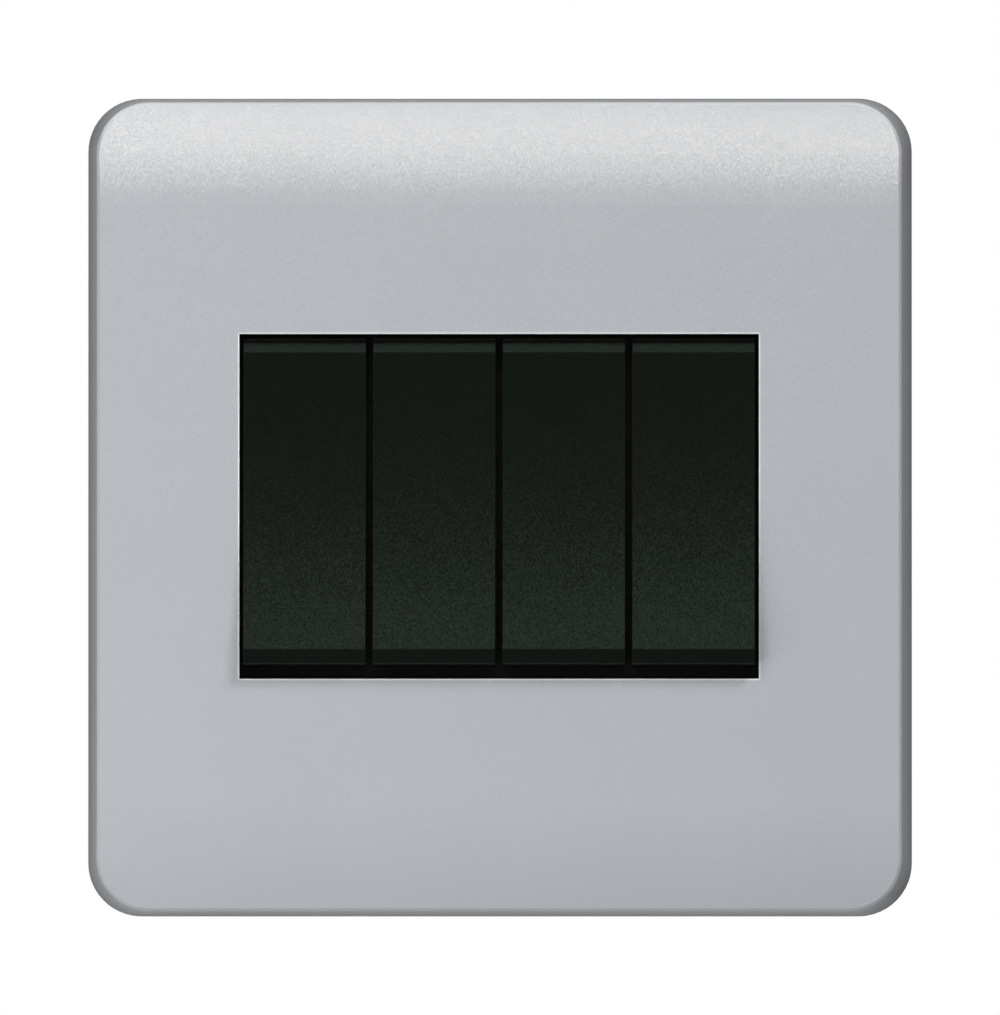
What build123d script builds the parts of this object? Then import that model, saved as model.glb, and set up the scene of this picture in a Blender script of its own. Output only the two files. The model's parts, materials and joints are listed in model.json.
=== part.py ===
from build123d import *
import os
from math import asin, cos, degrees, pi, radians, sin, tan

# Four-gang rocker light switch on a square wall plate.
# Millimetres. +Z is up, -Y faces the room, and the wall surface is the plane Y = 0.
# The rockers are drawn in the off state: top edge pressed in, bottom edge standing out.

# Gangs
GANGS = 4
PITCH = 13.5
GANG_X = [(i - (GANGS - 1) / 2) * PITCH for i in range(GANGS)]

# Rocker
ROCKER_GAP = 0.75
ROCKER_W = PITCH - ROCKER_GAP
ROCKER_H = 34.1
ROCKER_TILT = 5.0
ROCKER_WALL = 1.5
ROCKER_SIDE_WALL = 1.2
FACE_REACH = 7.0
FACE_SAG = 0.8
END_CHAMFER_H = 1.5
END_CHAMFER_D = 0.65
END_ROUND = 0.5
SKIRT_DRAFT = 0.2
STOP_GAP = 0.3
RIB_T = 1.0
RIB_H = 2.0

# Pivot of every rocker
PIVOT_Y = -3.2
TRUNNION_R = 1.2
TRUNNION_END = 4.6
BEARING_CLEAR = 0.05
EAR_IN = 3.1
EAR_T = 1.6
EAR_R = 2.2
PIN_BACK_CLEAR = 0.2
END_PLAY = 0.3

# Square hub of a rocker with its spring and plunger
HUB_W = 5.2
HUB_END = 2.6
PLUNGER_W = 3.3
PLUNGER_CLEAR = 0.1
PLUNGER_L = 6.0
SPRING_WIRE = 0.45
SPRING_CLEAR = 0.25
SPRING_TURNS = 3
SPRING_SIDES = 8
SPRING_L = 5.6

# Front plate
PLATE_W = 86.0
PLATE_H = 85.4
PLATE_DEPTH = 9.0
PLATE_WALL = 2.0
PLATE_CORNER_R = 5.6
PLATE_SIDE_DRAFT = 7.2
PLATE_END_DRAFT = 4.5
PLATE_EDGE_CHAMFER = 0.25
BAND_H = 11.3
BAND_DROP = 1.7
SIDE_GAP = 0.425
END_GAP = 0.9
WINDOW_W = GANGS * PITCH - ROCKER_GAP + 2 * SIDE_GAP
WINDOW_H = ROCKER_H + 2 * END_GAP
BAND_Z = PLATE_H / 2 - BAND_H

# Snap hooks of the front plate
HOOK_X = 20.0
HOOK_Z = 32.5
HOOK_W = 8.0
HOOK_T = 1.2
HOOK_BARB = 0.7
HOOK_PLAY = 0.15
HOOK_FLEX = 0.9
HOOK_END = -0.4

# Mounting frame
FRAME_CLEAR = 2.0
FRAME_W = PLATE_W - 2 * (PLATE_WALL + FRAME_CLEAR)
FRAME_H = PLATE_H - 2 * (PLATE_WALL + FRAME_CLEAR)
FRAME_CORNER_R = 3.0
FRAME_RIM_T = 1.4
FRAME_RIM_Y = -4.0
WEB_FRONT = -3.4
WEB_BACK = -1.6
FLOOR_T = 2.4
CORE_W = 70.0
CORE_H = 52.0
WELL_CLEAR = 0.45
WELL_RIM_T = 1.2
WELL_RIM_GAP = 0.3
HUB_SIDE_CLEAR = 0.3
HUB_SLOT_Z = 3.8
FIXING_CENTRES = 60.3
FIXING_HOLE_R = 2.1
FIXING_SEAT_W = 7.6

# Switch base
BASE_H = 39.6
BASE_DEPTH = 15.6
BASE_SIDE_T = 1.3
BASE_END_T = 1.4
BASE_FLOOR_T = 1.4
PARTITION_T = 1.2
BASE_W = GANGS * PITCH + PARTITION_T
CLIP_X = PITCH
CLIP_W = 5.0
CLIP_T = 1.2
CLIP_OFFSET = 0.6
CLIP_ROOT = 3.0
CLIP_NOSE = 1.2
CLIP_BARB = 0.6
CLIP_PLAY = 0.15
CLIP_FLEX = 0.7

# Terminals
BLOCK_W = 6.4
BLOCK_L = 6.6
BLOCK_FRONT = 6.6
BLOCK_CLEAR = 0.2
GUIDE_CLEAR = 0.1
GUIDE_H = 5.0
WIRE_R = 1.7
WIRE_Y = 9.3
WIRE_DEPTH = 5.8
WIRE_ENTRY_W = 4.2
CLAMP_R = 1.45
CLAMP_CLEAR = 0.05
CLAMP_LIFT = 0.3
CLAMP_PROUD = 0.6
CLAMP_SLOT_W = 0.7
CLAMP_SLOT_D = 0.8
POCKET_W = 4.8
TAB_W = 4.0
TAB_T = 0.9

# Moving contact bridge
BRIDGE_TILT = 10.0
BRIDGE_W = 4.2
BRIDGE_T = 0.9
BRIDGE_UP = 8.6
BRIDGE_DOWN = 5.5
FULCRUM_Y = 6.5
FULCRUM_R = 0.4
FULCRUM_CLEAR = 0.08
GROOVE_ANGLE = 120.0
BRIDGE_LIFT = 0.05
BRIDGE_SIDE_CLEAR = 0.2
HORN_T = 0.7
HORN_TOP = 4.9
CONTACT_Z = 7.2
CONTACT_W = 2.4
CONTACT_H = 0.6
CONTACT_GAP = 0.1
REST_GAP = 0.15
NOSE_GAP = 0.12

# Levels that follow from the sizes above
PLATE_BACK = PLATE_WALL - PLATE_DEPTH
FLOOR_FRONT = -FLOOR_T
BASE_FLOOR = BASE_DEPTH - BASE_FLOOR_T
BASE_CHAMBER = BASE_H / 2 - BASE_END_T
BRIDGE_REAR = FULCRUM_Y - BRIDGE_LIFT
BRIDGE_FRONT = BRIDGE_REAR - BRIDGE_T
HUB_BORE_W = PLUNGER_W + 2 * PLUNGER_CLEAR
NOSE_END = BRIDGE_FRONT - NOSE_GAP
PLUNGER_TOP = NOSE_END - PLUNGER_L
BORE_TOP = PLUNGER_TOP - SPRING_L
WELL_W = WINDOW_W + 2 * WELL_CLEAR
WELL_H = WINDOW_H + 2 * WELL_CLEAR
CLAMP_TIP = WIRE_Y + WIRE_R + CLAMP_LIFT
CLAMP_END = BASE_FLOOR + CLAMP_PROUD
CLIP_IN = BASE_H / 2 + CLIP_OFFSET
CLIP_OUT = CLIP_IN + CLIP_T
BLOCK_OUT = BASE_CHAMBER - BLOCK_CLEAR
BLOCK_IN = BLOCK_OUT - BLOCK_L
CLAMP_Z = (BLOCK_IN + BLOCK_OUT) / 2
BRIDGE_SIN = sin(radians(BRIDGE_TILT))
BRIDGE_COS = cos(radians(BRIDGE_TILT))
COMMON_ARM_Y = FULCRUM_Y + BRIDGE_DOWN * BRIDGE_SIN - BRIDGE_LIFT * BRIDGE_COS + REST_GAP
CONTACT_REACH = (CONTACT_Z + CONTACT_W / 2) * BRIDGE_SIN + (CONTACT_H - BRIDGE_LIFT) * BRIDGE_COS
LINE_TAB_Y = FULCRUM_Y + CONTACT_REACH + CONTACT_GAP + CONTACT_H


def box(x0, x1, y0, y1, z0, z1):
    return Pos((x0 + x1) / 2, (y0 + y1) / 2, (z0 + z1) / 2) * Box(x1 - x0, y1 - y0, z1 - z0)


def slab(width, height, y0, y1):
    return box(-width / 2, width / 2, y0, y1, -height / 2, height / 2)


def rod_x(r, x0, x1, y, z):
    return Pos((x0 + x1) / 2, y, z) * Rot(0, 90, 0) * Cylinder(r, x1 - x0)


# The front half of a rod on the axis z = 0.
def half_rod_x(r, x0, x1, y):
    return rod_x(r, x0, x1, y, 0) & box(x0, x1, y - r, y, -r, r)


def rod_y(r, y0, y1, x, z):
    return Pos(x, (y0 + y1) / 2, z) * Rot(90, 0, 0) * Cylinder(r, y1 - y0)


def rod_z(r, z0, z1, x, y):
    return Pos(x, y, (z0 + z1) / 2) * Cylinder(r, z1 - z0)


# A closed outline of (y, z) points, extruded along X.
def prism_x(points, x0, x1):
    face = Plane.YZ.offset(x0) * make_face(Polyline(*points, close=True))
    return extrude(face, x1 - x0)


def rounded_block(width, height, corner_r, y0, y1):
    outline = Plane.XZ.offset(-y1) * RectangleRounded(width, height, corner_r)
    return extrude(outline, y1 - y0)


# The tilt of a rocker in the off state, at the gang centred on x.
def at_rest(shape, x):
    pivot = Pos(0, PIVOT_Y, 0)
    return Pos(x, 0, 0) * pivot * Rot(-ROCKER_TILT, 0, 0) * pivot.inverse() * shape


# Everything behind the plate's front: a flat middle that bends back in one tangent arc above and below.
def behind_front(inset):
    band_r = (BAND_H**2 + BAND_DROP**2) / (2 * BAND_DROP)
    centre_y = band_r - PLATE_DEPTH
    r = band_r - inset
    angle = degrees(asin((BAND_H + 2) / r))
    upper = CenterArc((centre_y, BAND_Z), r, 180, -angle)
    lower = CenterArc((centre_y, -BAND_Z), r, 180, angle)
    flat = Line(lower @ 0, upper @ 0)
    top, bottom = upper @ 1, lower @ 1
    rear = Polyline(top, (PLATE_DEPTH, top.Y), (PLATE_DEPTH, bottom.Y), bottom)
    return extrude(Plane.YZ * make_face([flat, upper, rear, lower]), PLATE_W, both=True)


def make_front_plate():
    block = slab(PLATE_W, PLATE_H, -2 * PLATE_DEPTH, 0)
    block = draft([f for f in block.faces() if abs(f.normal_at().X) > 0.5], Plane.XZ, PLATE_SIDE_DRAFT)
    block = draft([f for f in block.faces() if abs(f.normal_at().Z) > 0.5], Plane.XZ, PLATE_END_DRAFT)
    corners = [e for e in block.edges() if abs((e % 0.5).Y) > 0.5]
    plate = fillet(corners, PLATE_CORNER_R) & behind_front(0)
    front = [e for e in plate.edges() if (e @ 0.5).Y < PLATE_BACK + BAND_DROP / 2]
    rim = [e for e in front if abs((e @ 0.5).X) > 1 or abs((e @ 0.5).Z) > BAND_Z + 1]
    plate = chamfer(rim, PLATE_EDGE_CHAMFER)
    inner_w, inner_h = PLATE_W - 2 * PLATE_WALL, PLATE_H - 2 * PLATE_WALL
    hollow = rounded_block(inner_w, inner_h, PLATE_CORNER_R - PLATE_WALL, -PLATE_DEPTH, 0)
    plate -= hollow & behind_front(PLATE_WALL)
    plate -= slab(WINDOW_W, WINDOW_H, -PLATE_DEPTH, 0)
    near, far = HOOK_Z - HOOK_T / 2, HOOK_Z + HOOK_T / 2
    leg = [
        (PLATE_BACK - PLATE_WALL / 2, near),
        (PLATE_BACK - PLATE_WALL / 2, far),
        (WEB_BACK, far),
        (WEB_BACK, far + HOOK_BARB),
        (HOOK_END, far),
        (HOOK_END, near),
    ]
    for x in (-HOOK_X, HOOK_X):
        hook = prism_x(leg, x - HOOK_W / 2, x + HOOK_W / 2)
        plate += hook
        plate += mirror(hook, Plane.XY)
    return plate


def make_mounting_frame():
    frame = rounded_block(FRAME_W, FRAME_H, FRAME_CORNER_R, FRAME_RIM_Y, 0)
    inner_w = FRAME_W - 2 * FRAME_RIM_T
    inner_h = FRAME_H - 2 * FRAME_RIM_T
    frame -= slab(inner_w, inner_h, FRAME_RIM_Y, WEB_FRONT)
    frame -= slab(inner_w, inner_h, WEB_BACK, 0) - slab(CORE_W, CORE_H, WEB_BACK, 0)
    frame += slab(WELL_W + 2 * WELL_RIM_T, WELL_H + 2 * WELL_RIM_T, PLATE_BACK + WELL_RIM_GAP, WEB_FRONT)
    frame -= slab(WELL_W, WELL_H, PLATE_BACK, FLOOR_FRONT)
    for x in (-FIXING_CENTRES / 2, FIXING_CENTRES / 2):
        frame -= Pos(x, 0, 0) * slab(FIXING_SEAT_W, FIXING_SEAT_W, PLATE_BACK, FLOOR_FRONT)
        frame -= rod_y(FIXING_HOLE_R, FLOOR_FRONT, 0, x, 0)
    for gang_x in GANG_X:
        for side in (-1, 1):
            x0, x1 = sorted((gang_x + side * EAR_IN, gang_x + side * (EAR_IN + EAR_T)))
            frame += box(x0, x1, PIVOT_Y - EAR_R, FLOOR_FRONT, -EAR_R, EAR_R)
        reach = TRUNNION_END + END_PLAY
        hole_r = TRUNNION_R + BEARING_CLEAR
        frame -= half_rod_x(hole_r, gang_x - reach, gang_x + reach, PIVOT_Y)
        frame -= box(gang_x - reach, gang_x + reach, PIVOT_Y, PIVOT_Y + PIN_BACK_CLEAR, -hole_r, hole_r)
        slot_x = HUB_W / 2 + HUB_SIDE_CLEAR
        frame -= box(gang_x - slot_x, gang_x + slot_x, FLOOR_FRONT, 0, -HUB_SLOT_Z, HUB_SLOT_Z)
    for x in (-HOOK_X, HOOK_X):
        x0, x1 = x - HOOK_W / 2 - HOOK_PLAY, x + HOOK_W / 2 + HOOK_PLAY
        z0, z1 = HOOK_Z - HOOK_T / 2 - HOOK_FLEX, HOOK_Z + HOOK_T / 2 + HOOK_PLAY
        latch = box(x0, x1, WEB_FRONT, WEB_BACK, z0, z1)
        frame -= latch
        frame -= mirror(latch, Plane.XY)
    for x in (-CLIP_X, CLIP_X):
        x0, x1 = x - CLIP_W / 2 - CLIP_PLAY, x + CLIP_W / 2 + CLIP_PLAY
        latch = box(x0, x1, WEB_FRONT, 0, CLIP_IN - CLIP_FLEX, CLIP_OUT + CLIP_PLAY)
        frame -= latch
        frame -= mirror(latch, Plane.XY)
    return frame


def make_switch_base():
    base = slab(BASE_W, BASE_H, 0, BASE_DEPTH)
    base -= slab(BASE_W - 2 * BASE_SIDE_T, 2 * BASE_CHAMBER, 0, BASE_FLOOR)
    for left, right in zip(GANG_X, GANG_X[1:]):
        x = (left + right) / 2
        base += box(x - PARTITION_T / 2, x + PARTITION_T / 2, 0, BASE_FLOOR, -BASE_CHAMBER, BASE_CHAMBER)
    guide_in = BLOCK_W / 2 + GUIDE_CLEAR
    half_tab, half_entry, half_pocket = TAB_W / 2, WIRE_ENTRY_W / 2, POCKET_W / 2
    cell = box(-half_tab, half_tab, COMMON_ARM_Y + TAB_T, BASE_FLOOR, -FULCRUM_R, FULCRUM_R)
    cell += box(-half_tab, half_tab, LINE_TAB_Y + TAB_T, BASE_FLOOR, CONTACT_Z - RIB_T, CONTACT_Z + RIB_T)
    openings = []
    for end in (-1, 1):
        z0, z1 = sorted((end * BLOCK_IN, end * BASE_CHAMBER))
        for side in (-1, 1):
            x0, x1 = sorted((side * guide_in, side * (guide_in + RIB_T)))
            cell += box(x0, x1, BASE_FLOOR - GUIDE_H, BASE_FLOOR, z0, z1)
        z0, z1 = sorted((end * BASE_CHAMBER, end * BASE_H / 2))
        openings.append(box(-half_entry, half_entry, WIRE_Y - half_entry, WIRE_Y + half_entry, z0, z1))
        z0, z1 = end * CLAMP_Z - half_pocket, end * CLAMP_Z + half_pocket
        openings.append(box(-half_pocket, half_pocket, BASE_FLOOR, BASE_DEPTH, z0, z1))
    for gang_x in GANG_X:
        base += Pos(gang_x, 0, 0) * cell
        for opening in openings:
            base -= Pos(gang_x, 0, 0) * opening
    arm = [
        (CLIP_ROOT, BASE_CHAMBER),
        (CLIP_ROOT, CLIP_OUT),
        (WEB_FRONT, CLIP_OUT),
        (WEB_FRONT, CLIP_OUT + CLIP_BARB),
        (WEB_FRONT - CLIP_NOSE, CLIP_OUT),
        (WEB_FRONT - CLIP_NOSE, CLIP_IN),
        (0, CLIP_IN),
        (0, BASE_CHAMBER),
    ]
    for x in (-CLIP_X, CLIP_X):
        clip = prism_x(arm, x - CLIP_W / 2, x + CLIP_W / 2)
        base += clip
        base += mirror(clip, Plane.XY)
    return base


def make_rocker():
    face_y = PIVOT_Y - FACE_REACH
    face_z = ROCKER_H / 2 - END_CHAMFER_H
    edge_y = face_y + END_CHAMFER_D
    edge_z = ROCKER_H / 2
    tilt = radians(ROCKER_TILT)
    skirt_z = edge_z - SKIRT_DRAFT
    skirt_y = PIVOT_Y + (FLOOR_FRONT - STOP_GAP - PIVOT_Y - skirt_z * sin(tilt)) / cos(tilt)
    face = ThreePointArc((face_y, -face_z), (face_y + FACE_SAG, 0), (face_y, face_z))
    back = Polyline(
        (face_y, face_z),
        (edge_y, edge_z),
        (skirt_y, skirt_z),
        (skirt_y, -skirt_z),
        (edge_y, -edge_z),
        (face_y, -face_z),
    )
    rocker = extrude(Plane.YZ * make_face([face, back]), ROCKER_W / 2, both=True)
    ends = [e for e in rocker.edges() if abs((e @ 0.5).X) < 0.01 and abs((e @ 0.5).Y - edge_y) < 0.01]
    rocker = fillet(ends, END_ROUND)
    ceiling = face_y + FACE_SAG + ROCKER_WALL
    rocker -= slab(ROCKER_W - 2 * ROCKER_SIDE_WALL, 2 * (skirt_z - ROCKER_WALL), ceiling, HUB_END)
    rocker += slab(RIB_T, 2 * (skirt_z - ROCKER_WALL), ceiling, ceiling + RIB_H)
    rocker += slab(HUB_W, HUB_W, ceiling, HUB_END)
    rocker += half_rod_x(TRUNNION_R, -TRUNNION_END, TRUNNION_END, PIVOT_Y)
    return rocker - slab(HUB_BORE_W, HUB_BORE_W, BORE_TOP, HUB_END)


def make_plunger():
    half = PLUNGER_W / 2
    nose_y = NOSE_END - half
    return slab(PLUNGER_W, PLUNGER_W, PLUNGER_TOP, nose_y) + rod_x(half, -half, half, nose_y, 0)


# An open-ended coil, worked out as short straight stretches.
def make_spring():
    coil_r = HUB_BORE_W / 2 - SPRING_CLEAR - SPRING_WIRE / 2
    rise = SPRING_L - SPRING_WIRE
    steps = SPRING_TURNS * SPRING_SIDES
    turns = [(2 * pi * i / SPRING_SIDES, rise * i / steps) for i in range(steps + 1)]
    path = Polyline(*[(coil_r * cos(a), coil_r * sin(a), z) for a, z in turns])
    wire = Plane(path @ 0, x_dir=(1, 0, 0), z_dir=path % 0) * Rectangle(SPRING_WIRE, SPRING_WIRE)
    coil = sweep(wire, path, transition=Transition.RIGHT)
    return Pos(0, PLUNGER_TOP + coil.bounding_box().min.Z, 0) * Rot(90, 0, 0) * coil


def make_contact_bridge():
    half, pad = BRIDGE_W / 2, CONTACT_W / 2
    bridge = box(-half, half, BRIDGE_FRONT, BRIDGE_REAR, -BRIDGE_DOWN, BRIDGE_UP)
    apex = (FULCRUM_R + FULCRUM_CLEAR) / sin(radians(GROOVE_ANGLE / 2))
    mouth = (apex + FULCRUM_R) * tan(radians(GROOVE_ANGLE / 2))
    groove = [(FULCRUM_Y - apex, 0), (FULCRUM_Y + FULCRUM_R, mouth), (FULCRUM_Y + FULCRUM_R, -mouth)]
    bridge -= prism_x(groove, -half, half)
    bridge += box(-pad, pad, BRIDGE_REAR, BRIDGE_REAR + CONTACT_H, CONTACT_Z - pad, CONTACT_Z + pad)
    axis = Pos(0, FULCRUM_Y, 0)
    return axis * Rot(BRIDGE_TILT, 0, 0) * axis.inverse() * bridge


# A brass pillar with its wire bore and clamping screw hole, at the lower (-1) or upper (1) end.
def make_block(end):
    z0, z1 = sorted((end * BLOCK_IN, end * BLOCK_OUT))
    block = box(-BLOCK_W / 2, BLOCK_W / 2, BLOCK_FRONT, BASE_FLOOR, z0, z1)
    z0, z1 = sorted((end * (BLOCK_OUT - WIRE_DEPTH), end * BLOCK_OUT))
    block -= rod_z(WIRE_R, z0, z1, 0, WIRE_Y)
    return block - rod_y(CLAMP_R + CLAMP_CLEAR, WIRE_Y, BASE_FLOOR, 0, end * CLAMP_Z)


def make_common_terminal():
    half = TAB_W / 2
    horn_in = BRIDGE_W / 2 + BRIDGE_SIDE_CLEAR
    horn_out = horn_in + HORN_T
    arm_back = COMMON_ARM_Y + TAB_T
    terminal = make_block(-1)
    terminal += box(-half, half, COMMON_ARM_Y, arm_back, -BLOCK_IN, FULCRUM_R)
    terminal += box(-horn_out, horn_out, FULCRUM_Y, arm_back, -FULCRUM_R, FULCRUM_R)
    terminal += rod_x(FULCRUM_R, -horn_in, horn_in, FULCRUM_Y, 0)
    for x0, x1 in ((-horn_out, -horn_in), (horn_in, horn_out)):
        terminal += box(x0, x1, HORN_TOP, FULCRUM_Y, -FULCRUM_R, FULCRUM_R)
    return terminal


def make_line_terminal():
    half, pad = TAB_W / 2, CONTACT_W / 2
    terminal = make_block(1)
    terminal += box(-half, half, LINE_TAB_Y, LINE_TAB_Y + TAB_T, CONTACT_Z - half, BLOCK_IN)
    return terminal + box(-pad, pad, LINE_TAB_Y - CONTACT_H, LINE_TAB_Y, CONTACT_Z - pad, CONTACT_Z + pad)


def make_terminal_screw(x, z):
    screw = rod_y(CLAMP_R, CLAMP_TIP, CLAMP_END, 0, 0)
    screw -= slab(2 * CLAMP_R, CLAMP_SLOT_W, CLAMP_END - CLAMP_SLOT_D, CLAMP_END)
    return Pos(x, 0, z) * screw


rocker = make_rocker()
plunger = make_plunger()
spring = make_spring()
bridge = make_contact_bridge()
common = make_common_terminal()
line = make_line_terminal()
screws = [make_terminal_screw(x, z).solid() for x in GANG_X for z in (-CLAMP_Z, CLAMP_Z)]

nodes = {
    "front_plate": make_front_plate(),
    "mounting_frame": make_mounting_frame(),
    "switch_base": make_switch_base(),
    "terminal_screws": Compound(screws),
}
for i, x in enumerate(GANG_X, start=1):
    nodes[f"rocker_{i}"] = at_rest(rocker, x)
    nodes[f"plunger_{i}"] = at_rest(plunger, x)
    nodes[f"spring_{i}"] = at_rest(spring, x)
    nodes[f"contact_bridge_{i}"] = Pos(x, 0, 0) * bridge
    nodes[f"common_terminal_{i}"] = Pos(x, 0, 0) * common
    nodes[f"line_terminal_{i}"] = Pos(x, 0, 0) * line

os.makedirs("parts", exist_ok=True)
for name, shape in nodes.items():
    export_step(shape, f"parts/{name}.step")
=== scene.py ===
import json
from math import cos, pi, radians, sin

import bpy
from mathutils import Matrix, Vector


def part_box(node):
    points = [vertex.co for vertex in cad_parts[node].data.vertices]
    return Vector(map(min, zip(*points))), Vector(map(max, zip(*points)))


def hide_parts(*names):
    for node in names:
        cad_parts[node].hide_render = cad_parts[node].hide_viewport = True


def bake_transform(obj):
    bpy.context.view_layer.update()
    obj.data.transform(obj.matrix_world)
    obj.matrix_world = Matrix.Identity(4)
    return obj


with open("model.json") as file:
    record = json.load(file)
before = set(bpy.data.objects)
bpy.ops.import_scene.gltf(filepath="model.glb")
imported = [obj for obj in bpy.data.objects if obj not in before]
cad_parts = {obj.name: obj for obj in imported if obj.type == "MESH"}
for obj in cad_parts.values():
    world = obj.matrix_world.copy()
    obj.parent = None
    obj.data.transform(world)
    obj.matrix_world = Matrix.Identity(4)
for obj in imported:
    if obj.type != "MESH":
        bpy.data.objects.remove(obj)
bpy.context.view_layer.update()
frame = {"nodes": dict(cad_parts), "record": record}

# Lengths are metres. -Y faces the room, +Z is up, and the wall surface is the plane Y = 0.
MM = 0.001
ACROSS = Vector((1, 0, 0))
scene = bpy.context.scene
record = frame["record"]
nodes = frame["nodes"]

PLATE_LOW, PLATE_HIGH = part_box("front_plate")
PLATE_FRONT = PLATE_LOW.y
PLATE_HALF = PLATE_HIGH.z

# Picture, with the camera's angles in degrees
PICTURE_W = 1000
PICTURE_H = 1015
VIEW_W = 104.43 * MM
VIEW_H = VIEW_W * PICTURE_H / PICTURE_W
CAMERA_DISTANCE = 3.0
CAMERA_AZIMUTH = 0.6
CAMERA_ELEVATION = -0.75

# Studio, with the distances between which the floor fades to white
FLOOR_Z = -0.16
FLOOR_SIZE = 9.0
FLOOR_FADE = (0.15, 0.9)
FLOOR_PATCH = 0.4
FLOOR_TONES = ((0.8, 0.8, 0.8, 1), (0.84, 0.84, 0.84, 1))
FLOOR_ROUGH = 0.8
FLOOR_GLOSS = 0.2
WORLD_LIGHT = 0.15
BACKGROUND = (1, 1, 1, 1)

# Softboxes: place, width and height, radiance and colour.
# The first ones are only mirrored by the surfaces, and the others only light their colours.
WHITE = (1, 1, 1)
WARM = (1.0, 0.9, 0.77)
MIRRORED_LAMPS = {
    "key": ((-0.075, -0.251, 0.147), (0.44, 0.124), 5.4, WARM),
    "top": ((0.0, -0.22, 0.42), (0.6, 0.25), 2.6, WHITE),
}
LIGHTING_LAMPS = {
    "sky": ((1.15, -1.75, 2.1), (0.8, 0.7), 30.5, WHITE),
    "soft": ((-0.8, -2.26, 1.57), (1.6, 1.0), 9.1, WHITE),
    "fill": ((-0.16, -0.2, -0.095), (0.3, 0.1), 4.0, WHITE),
    "under": ((0.0, 0.02, -0.15), (0.4, 0.06), 2.5, WHITE),
    "over": ((0.0, 0.03, 0.2), (0.4, 0.06), 0.6, WHITE),
    "back": ((0.0, 0.9, 0.05), (0.4, 0.4), 12.0, WHITE),
}

# Springs
WIRE = 0.45 * MM
WIRE_SIDES = 10
TURN_STEPS = 24
OPEN_TURNS = 3
CLOSED_TURNS = 1

# Silver paint of the plate
PAINT_TONES = ((0.338, 0.353, 0.375, 1), (0.348, 0.363, 0.385, 1))
PAINT_FLAKE = (0.6, 0.62, 0.64, 1)
# Painted highlight: a light line along the window's edge
PAINT_WINDOW_HIGHLIGHT = (0.95, 0.95, 0.95, 1)
# Painted highlight on the upward-facing edge near the plate's outline
PAINT_UPPER_EDGE_HIGHLIGHT = (0.54, 0.55, 0.57, 1)
# Painted shade on the outer walls, from lighter at the front to darker at the back
PAINT_WALL_SHADE_FRONT = (0.29, 0.3, 0.31, 1)
PAINT_WALL_SHADE_BACK = (0.15, 0.155, 0.16, 1)
PAINT_ROUGH = (0.22, 0.26)
PAINT_WALL_ROUGH = 0.85
PAINT_GLOSS = 0.2
PAINT_PATCH = 18 * MM
PAINT_ROUGH_PATCH = 1.5 * MM
PAINT_RADIUS = 0.12 * MM
PAINT_SOFT_RADIUS = 0.36 * MM
FLAKE_SIZE = 0.11 * MM
FLAKE_RANGE = (0.1, 0.9)
FLAKE_SHARE = 0.12
FLAKE_METAL = (0.015, 0.155)
FLAKE_TILT = 0.05

# Black of the rockers
ROCKER_TONES = ((0.0017, 0.0018, 0.0005, 1), (0.0022, 0.0023, 0.0008, 1))
# Painted light: the rockers' down-facing and up-facing ends are lighter than the rest
ROCKER_LOWER_END_LIGHT = (0.01, 0.011, 0.009, 1)
ROCKER_UPPER_END_LIGHT = (0.03, 0.032, 0.028, 1)
# Painted highlight along the rockers' edges
ROCKER_EDGE_HIGHLIGHT = (0.008, 0.0085, 0.007, 1)
ROCKER_GLOSS_TINT = (0.66, 1.0, 0.94, 1)
ROCKER_GLOSS = 0.074
ROCKER_ROUGH = (0.17, 0.29)
ROCKER_PATCH = 6 * MM
ROCKER_ROUGH_PATCH = 0.12 * MM
ROCKER_RADIUS = 0.15 * MM
GRAIN_SIZE = 0.11 * MM
GRAIN_TILT = 0.055

# Moulded plastics: darker and lighter tone, roughness, edge radius and gloss
MOULDED = {
    "frame_black": ((0.005, 0.006, 0.0045, 1), (0.008, 0.009, 0.0075, 1), 0.5, 0.2 * MM, 0.17),
    "base_white": ((0.7, 0.7, 0.67, 1), (0.76, 0.76, 0.73, 1), 0.42, 0.35 * MM, 0.5),
    "plunger_nylon": ((0.72, 0.7, 0.63, 1), (0.8, 0.78, 0.71, 1), 0.4, 0.15 * MM, 0.5),
}
MOULDED_SPREAD = 0.06
MOULDED_PATCH = 9 * MM
MOULDED_GRAIN = 0.35 * MM
MOULDED_RELIEF = 0.008 * MM

# Metals: darker and lighter tone, roughness, and how the noise of their streaks is stretched
ALONG_X = (0.08, 1, 1)
ALONG_Z = (1, 1, 0.08)
EVEN = (1, 1, 1)
METALS = {
    "terminal_brass": ((0.6, 0.4, 0.14, 1), (0.74, 0.54, 0.24, 1), 0.32, ALONG_Z),
    "contact_copper": ((0.6, 0.31, 0.18, 1), (0.76, 0.44, 0.28, 1), 0.3, ALONG_Z),
    "spring_steel": ((0.4, 0.4, 0.41, 1), (0.52, 0.52, 0.54, 1), 0.3, EVEN),
    "screw_steel": ((0.5, 0.5, 0.48, 1), (0.66, 0.66, 0.64, 1), 0.28, ALONG_X),
}
METAL_SPREAD = 0.08
METAL_RADIUS = 0.12 * MM
STREAK_WIDTH = 0.15 * MM
STREAK_RELIEF = 0.004 * MM
TARNISH_PATCH = 2.5 * MM

# Where the masks of the materials begin and end: the share of the way to the plate's outline,
# a normal's part towards the wall or upward, and how far a rounded normal agrees with the true one
OUTLINE_ZONE = (0.85, 0.9)
WALL_ZONE = (-0.75, -0.2)
PLATE_UPWARD = (0.3, 0.6)
ROCKER_UPWARD = (0.55, 0.9)
ROCKER_DOWNWARD = (-0.95, -0.6)
EDGE_MATCH = (0.85, 0.995)
BEVEL_SAMPLES = 4


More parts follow.
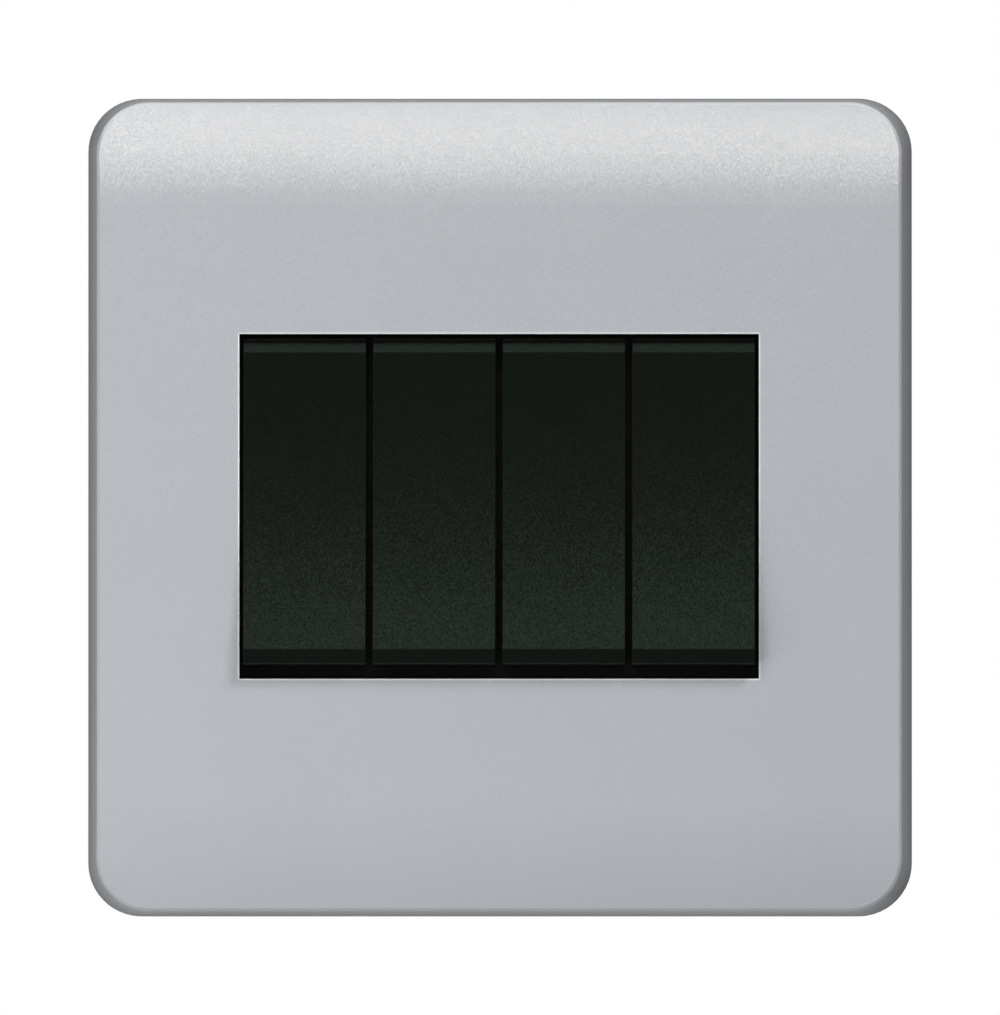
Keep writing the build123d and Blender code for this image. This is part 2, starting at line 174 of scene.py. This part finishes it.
class Surface:
    """A material with one Principled shader and short calls for the nodes that feed it."""

    def __init__(self, name, settings):
        self.material = bpy.data.materials.new(name)
        self.material.use_nodes = True
        tree = self.material.node_tree
        self.nodes = tree.nodes
        self.links = tree.links
        self.shader = next(n for n in tree.nodes if n.type == "BSDF_PRINCIPLED")
        for socket, value in settings.items():
            self.shader.inputs[socket].default_value = value
        self.place = self.add("TexCoord").outputs["Object"]

    def add(self, kind, **sockets):
        node = self.nodes.new("ShaderNode" + kind)
        for name, value in sockets.items():
            self.feed(node.inputs[name], value)
        return node

    def feed(self, socket, value):
        if isinstance(value, bpy.types.NodeSocket):
            self.links.new(value, socket)
        else:
            socket.default_value = value

    def math(self, operation, first, second=0.0):
        node = self.add("Math")
        node.operation = operation
        self.feed(node.inputs[0], first)
        self.feed(node.inputs[1], second)
        return node.outputs[0]

    def vector_math(self, operation, *values):
        node = self.add("VectorMath")
        node.operation = operation
        for socket, value in zip(node.inputs, values):
            self.feed(socket, value)
        return node.outputs["Value" if operation in ("DOT_PRODUCT", "LENGTH") else "Vector"]

    def component(self, vector, axis):
        return self.add("SeparateXYZ", Vector=vector).outputs[axis]

    def noise(self, size, detail=2.0, stretch=EVEN):
        place = self.vector_math("MULTIPLY", self.place, stretch)
        return self.add("TexNoise", Vector=place, Scale=1 / size, Detail=detail).outputs["Fac"]

    def cells(self, size):
        return self.add("TexVoronoi", Vector=self.place, Scale=1 / size).outputs["Color"]

    def level(self, value, low, high, start=0.3, stop=0.7):
        """Low where the value is at start, high where it is at stop; noise lies mostly within 0.3 to 0.7."""
        node = self.add("MapRange", Value=value)
        for name, number in (("From Min", start), ("From Max", stop), ("To Min", low), ("To Max", high)):
            node.inputs[name].default_value = number
        return node.outputs["Result"]

    def blend(self, share, first, second):
        node = self.add("Mix")
        node.data_type = "RGBA"
        self.feed(node.inputs["Factor"], share)
        colours = [s for s in node.inputs if s.type == "RGBA"]
        self.feed(colours[0], first)
        self.feed(colours[1], second)
        return next(s for s in node.outputs if s.type == "RGBA")

    def blend_value(self, share, first, second):
        node = self.add("Mix")
        self.feed(node.inputs["Factor"], share)
        self.feed(node.inputs["A"], first)
        self.feed(node.inputs["B"], second)
        return node.outputs["Result"]

    def near_outline(self, reach):
        """1 close to a square outline that lies reach from the middle, 0 nearer the middle."""
        across = self.math("ABSOLUTE", self.component(self.place, "X"))
        along = self.math("ABSOLUTE", self.component(self.place, "Z"))
        furthest = self.math("MAXIMUM", across, along)
        return self.level(furthest, 0.0, 1.0, *(share * reach for share in OUTLINE_ZONE))

    def standing(self, normal):
        """1 where the surface stands along the line into the wall, 0 where it faces the room."""
        return self.level(self.component(normal, "Y"), 0.0, 1.0, *WALL_ZONE)

    def upward(self):
        return self.component(self.add("NewGeometry").outputs["Normal"], "Z")

    def rounded(self, radius):
        """The normal, rounded at the edges by a radius."""
        node = self.add("Bevel", Radius=radius)
        node.samples = BEVEL_SAMPLES
        return node.outputs["Normal"]

    def sharp_edge(self, rounded):
        """1 along a sharp edge, 0 away from it, from a normal that is rounded there."""
        true_normal = self.add("NewGeometry").outputs["True Normal"]
        match = self.vector_math("DOT_PRODUCT", rounded, true_normal)
        return self.level(match, 1.0, 0.0, *EDGE_MATCH)

    def sparkle(self, normal, size, tilt):
        """The normal, tilted a little to any side in every cell."""
        flake = self.vector_math("MULTIPLY_ADD", self.cells(size), (2 * tilt,) * 3, (-tilt,) * 3)
        return self.vector_math("NORMALIZE", self.vector_math("ADD", normal, flake))

    def bump(self, height, depth, normal):
        node = self.add("Bump", Height=height, Normal=normal)
        node.inputs["Distance"].default_value = depth
        return node.outputs["Normal"]

    def finish(self, **sockets):
        for name, value in sockets.items():
            self.feed(self.shader.inputs[name.replace("_", " ")], value)
        return self.material


def silver_paint():
    """Flaked paint on the front, plain paint on the outer walls with painted shade that darkens them towards
    the back, a painted highlight where the front faces up near the outline, and a painted highlight line
    round the window.
    """
    paint = Surface("silver_paint", {"Specular IOR Level": PAINT_GLOSS})
    rounded = paint.rounded(PAINT_RADIUS)
    soft = paint.rounded(PAINT_SOFT_RADIUS)
    outline = paint.near_outline(PLATE_HALF)
    flake = paint.level(paint.cells(FLAKE_SIZE), 0.0, 1.0, *FLAKE_RANGE)

    broad = paint.level(paint.noise(PAINT_PATCH), 0.0, 1.0)
    front = paint.blend(broad, *PAINT_TONES)
    front = paint.blend(paint.level(flake, 0.0, FLAKE_SHARE, 0.0, 1.0), front, PAINT_FLAKE)
    inside = paint.math("SUBTRACT", 1.0, outline)
    # Painted highlight: a light line along the sharp edges round the window
    window_highlight = paint.math("MULTIPLY", paint.sharp_edge(soft), inside)
    front = paint.blend(window_highlight, front, PAINT_WINDOW_HIGHLIGHT)
    # Painted highlight where the paint faces up near the outline
    painted_light_up = paint.level(paint.upward(), 0.0, 1.0, *PLATE_UPWARD)
    front = paint.blend(paint.math("MULTIPLY", painted_light_up, outline), front, PAINT_UPPER_EDGE_HIGHLIGHT)

    # Painted shade on the outer walls, darker towards the back
    wall = paint.math("MULTIPLY", paint.standing(soft), outline)
    depth = paint.level(paint.component(paint.place, "Y"), 0.0, 1.0, PLATE_FRONT, 0.0)
    colour = paint.blend(wall, front, paint.blend(depth, PAINT_WALL_SHADE_FRONT, PAINT_WALL_SHADE_BACK))
    front_rough = paint.level(paint.noise(PAINT_ROUGH_PATCH), *PAINT_ROUGH)
    rough = paint.blend_value(wall, front_rough, PAINT_WALL_ROUGH)
    metal = paint.blend_value(wall, paint.level(flake, *FLAKE_METAL, 0.0, 1.0), 0.0)
    normal = paint.sparkle(rounded, FLAKE_SIZE, FLAKE_TILT)
    return paint.finish(Base_Color=colour, Roughness=rough, Metallic=metal, Normal=normal)


def rocker_black():
    """Grained black, with painted light that makes the bevelled ends and the edges a little lighter."""
    settings = {"Specular IOR Level": ROCKER_GLOSS, "Specular Tint": ROCKER_GLOSS_TINT}
    black = Surface("rocker_black", settings)
    rounded = black.rounded(ROCKER_RADIUS)
    broad = black.level(black.noise(ROCKER_PATCH), 0.0, 1.0)
    colour = black.blend(broad, *ROCKER_TONES)
    # Painted light on the rockers' down-facing and up-facing ends
    painted_light_down = black.level(black.upward(), 1.0, 0.0, *ROCKER_DOWNWARD)
    colour = black.blend(painted_light_down, colour, ROCKER_LOWER_END_LIGHT)
    painted_light_up = black.level(black.upward(), 0.0, 1.0, *ROCKER_UPWARD)
    colour = black.blend(painted_light_up, colour, ROCKER_UPPER_END_LIGHT)
    # Painted highlight along the edges
    colour = black.blend(black.sharp_edge(rounded), colour, ROCKER_EDGE_HIGHLIGHT)
    rough = black.level(black.noise(ROCKER_ROUGH_PATCH), *ROCKER_ROUGH)
    normal = black.sparkle(rounded, GRAIN_SIZE, GRAIN_TILT)
    return black.finish(Base_Color=colour, Roughness=rough, Normal=normal)


def moulded(name, dark, light, rough, radius, gloss):
    """Finely grained plastic, whose roughness lies within the spread of its middle."""
    plastic = Surface(name, {"Specular IOR Level": gloss})
    broad = plastic.level(plastic.noise(MOULDED_PATCH, 3.0), 0.0, 1.0)
    grain = plastic.noise(MOULDED_GRAIN)
    colour = plastic.blend(broad, dark, light)
    roughness = plastic.level(grain, rough - MOULDED_SPREAD, rough + MOULDED_SPREAD)
    normal = plastic.bump(grain, MOULDED_RELIEF, plastic.rounded(radius))
    return plastic.finish(Base_Color=colour, Roughness=roughness, Normal=normal)


def worked_metal(name, dark, light, rough, stretch):
    """Metal with streaks, which are long where the stretch is small."""
    metal = Surface(name, {"Metallic": 1.0})
    streaks = metal.noise(STREAK_WIDTH, 3.0, stretch)
    tarnish = metal.level(metal.noise(TARNISH_PATCH, 3.0), 0.0, 1.0)
    colour = metal.blend(tarnish, dark, light)
    roughness = metal.level(streaks, rough - METAL_SPREAD, rough + METAL_SPREAD)
    normal = metal.bump(streaks, STREAK_RELIEF, metal.rounded(METAL_RADIUS))
    return metal.finish(Base_Color=colour, Roughness=roughness, Normal=normal)


def make_materials():
    materials = {"silver_paint": silver_paint(), "rocker_black": rocker_black()}
    for name, settings in MOULDED.items():
        materials[name] = moulded(name, *settings)
    for name, settings in METALS.items():
        materials[name] = worked_metal(name, *settings)
    return materials


def dress_nodes():
    materials = make_materials()
    for part in record["subparts"]:
        mesh = nodes[part["node"]].data
        mesh.materials.clear()
        mesh.materials.append(materials[part["material_slot"]])


def span(node, direction):
    reach = [(node.matrix_world @ v.co).dot(direction) for v in node.data.vertices]
    return min(reach), max(reach)


def coil_rise(turn, length):
    """How far a spring's wire has risen after so many turns, which are closed at both ends of the spring."""
    opened = min(max(turn - CLOSED_TURNS, 0), OPEN_TURNS)
    pitch = (length - (1 + 2 * CLOSED_TURNS) * WIRE) / OPEN_TURNS
    return pitch * opened + WIRE * (turn - opened)


def make_coil(name, foot, axis, length, radius):
    up = axis.cross(ACROSS)
    steps = TURN_STEPS * (OPEN_TURNS + 2 * CLOSED_TURNS)
    points = []
    for step in range(steps + 1):
        turn = step / TURN_STEPS
        outward = ACROSS * cos(2 * pi * turn) + up * sin(2 * pi * turn)
        centre = foot + outward * radius + axis * (WIRE / 2 + coil_rise(turn, length))
        for i in range(WIRE_SIDES):
            angle = 2 * pi * i / WIRE_SIDES
            points.append(centre + (outward * cos(angle) + axis * sin(angle)) * WIRE / 2)
    last = len(points) - 1
    faces = [tuple(range(WIRE_SIDES)), tuple(range(last, last - WIRE_SIDES, -1))]
    for step in range(steps):
        for i in range(WIRE_SIDES):
            here = step * WIRE_SIDES + i
            beside = step * WIRE_SIDES + (i + 1) % WIRE_SIDES
            faces.append((here, here + WIRE_SIDES, beside + WIRE_SIDES, beside))
    mesh = bpy.data.meshes.new(name)
    mesh.from_pydata(points, [], faces)
    mesh.shade_smooth()
    coil = bpy.data.objects.new(name, mesh)
    scene.collection.objects.link(coil)
    return coil


def make_springs():
    """Every spring is drawn as a coil of round wire in the place of its part, which is hidden."""
    for joint in record["behaviour"]["joints"]:
        for row in joint.get("deforming_nodes", []):
            node = nodes[row["node"]]
            axis = Vector(joint["axis"]).normalized()
            up = axis.cross(ACROSS)
            low, high = span(node, axis)
            left, right = span(node, ACROSS)
            lower, upper = span(node, up)
            foot = ACROSS * (left + right) / 2 + up * (lower + upper) / 2 + axis * low
            radius = (right - left - WIRE) / 2
            coil = make_coil(row["node"] + "_coil", foot, axis, high - low, radius)
            coil.data.materials.append(node.data.materials[0])
            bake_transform(coil)
            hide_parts(row["node"])


def seen_by_eye(tree):
    """1 for the rays that show the background, in the picture or in a mirror, 0 for those that only light."""
    ray = tree.nodes.new("ShaderNodeLightPath")
    seen = ray.outputs["Is Camera Ray"]
    for name in ("Is Glossy Ray", "Is Transmission Ray"):
        either = tree.nodes.new("ShaderNodeMath")
        either.operation = "MAXIMUM"
        tree.links.new(seen, either.inputs[0])
        tree.links.new(ray.outputs[name], either.inputs[1])
        seen = either.outputs[0]
    return seen


def make_world():
    """A white background that gives less light than it shows."""
    world = bpy.data.worlds.new("studio")
    scene.world = world
    world.use_nodes = True
    tree = world.node_tree
    tree.nodes.clear()
    seen = seen_by_eye(tree)
    light = tree.nodes.new("ShaderNodeBackground")
    light.inputs["Strength"].default_value = WORLD_LIGHT
    white = tree.nodes.new("ShaderNodeBackground")
    for background in (light, white):
        background.inputs["Color"].default_value = BACKGROUND
    mix = tree.nodes.new("ShaderNodeMixShader")
    tree.links.new(seen, mix.inputs[0])
    tree.links.new(light.outputs[0], mix.inputs[1])
    tree.links.new(white.outputs[0], mix.inputs[2])
    output = tree.nodes.new("ShaderNodeOutputWorld")
    tree.links.new(mix.outputs[0], output.inputs["Surface"])


def floor_pale():
    """A pale floor that keeps the shadow near the object and fades to the white background further out."""
    pale = Surface("floor_pale", {"Roughness": FLOOR_ROUGH, "Specular IOR Level": FLOOR_GLOSS})
    tone = pale.level(pale.noise(FLOOR_PATCH), 0.0, 1.0)
    pale.finish(Base_Color=pale.blend(tone, *FLOOR_TONES))
    fade = pale.level(pale.vector_math("LENGTH", pale.place), 0.0, 1.0, *FLOOR_FADE)
    white = pale.add("Emission", Color=BACKGROUND, Strength=1.0)
    mix = pale.add("MixShader", Fac=pale.math("MULTIPLY", fade, seen_by_eye(pale.material.node_tree)))
    pale.feed(mix.inputs[1], pale.shader.outputs["BSDF"])
    pale.feed(mix.inputs[2], white.outputs["Emission"])
    output = next(n for n in pale.nodes if n.type == "OUTPUT_MATERIAL")
    pale.feed(output.inputs["Surface"], mix.outputs["Shader"])
    return pale.material


def make_floor():
    half = FLOOR_SIZE / 2
    corners = [(x, y, FLOOR_Z) for x, y in ((-half, -half), (half, -half), (half, half), (-half, half))]
    mesh = bpy.data.meshes.new("floor")
    mesh.from_pydata(corners, [], [(0, 1, 2, 3)])
    mesh.materials.append(floor_pale())
    floor = bpy.data.objects.new("floor", mesh)
    floor.visible_diffuse = False
    scene.collection.objects.link(floor)


def softbox(name, place, size, radiance, colour):
    data = bpy.data.lights.new(name, "AREA")
    data.color = colour
    data.shape = "RECTANGLE"
    data.size, data.size_y = size
    data.energy = radiance * pi * data.size * data.size_y
    lamp = bpy.data.objects.new(name, data)
    lamp.location = place
    lamp.rotation_euler = (-Vector(place)).to_track_quat("-Z", "Y").to_euler()
    lamp.visible_camera = False
    scene.collection.objects.link(lamp)
    return lamp


def make_studio():
    make_world()
    make_floor()
    for name, settings in MIRRORED_LAMPS.items():
        softbox(name, *settings).visible_diffuse = False
    for name, settings in LIGHTING_LAMPS.items():
        softbox(name, *settings).visible_glossy = False


def make_camera():
    azimuth = radians(CAMERA_AZIMUTH)
    elevation = radians(CAMERA_ELEVATION)
    back = Vector((sin(azimuth) * cos(elevation), -cos(azimuth) * cos(elevation), sin(elevation)))
    data = bpy.data.cameras.new("camera")
    # The picture is taller than wide, so the sensor's width spans its height.
    data.lens = data.sensor_width * CAMERA_DISTANCE / VIEW_H
    camera = bpy.data.objects.new("camera", data)
    camera.location = back * CAMERA_DISTANCE
    camera.rotation_euler = (-back).to_track_quat("-Z", "Y").to_euler()
    scene.collection.objects.link(camera)
    scene.camera = camera


dress_nodes()
make_springs()
make_studio()
make_camera()
scene.view_settings.view_transform = "Standard"
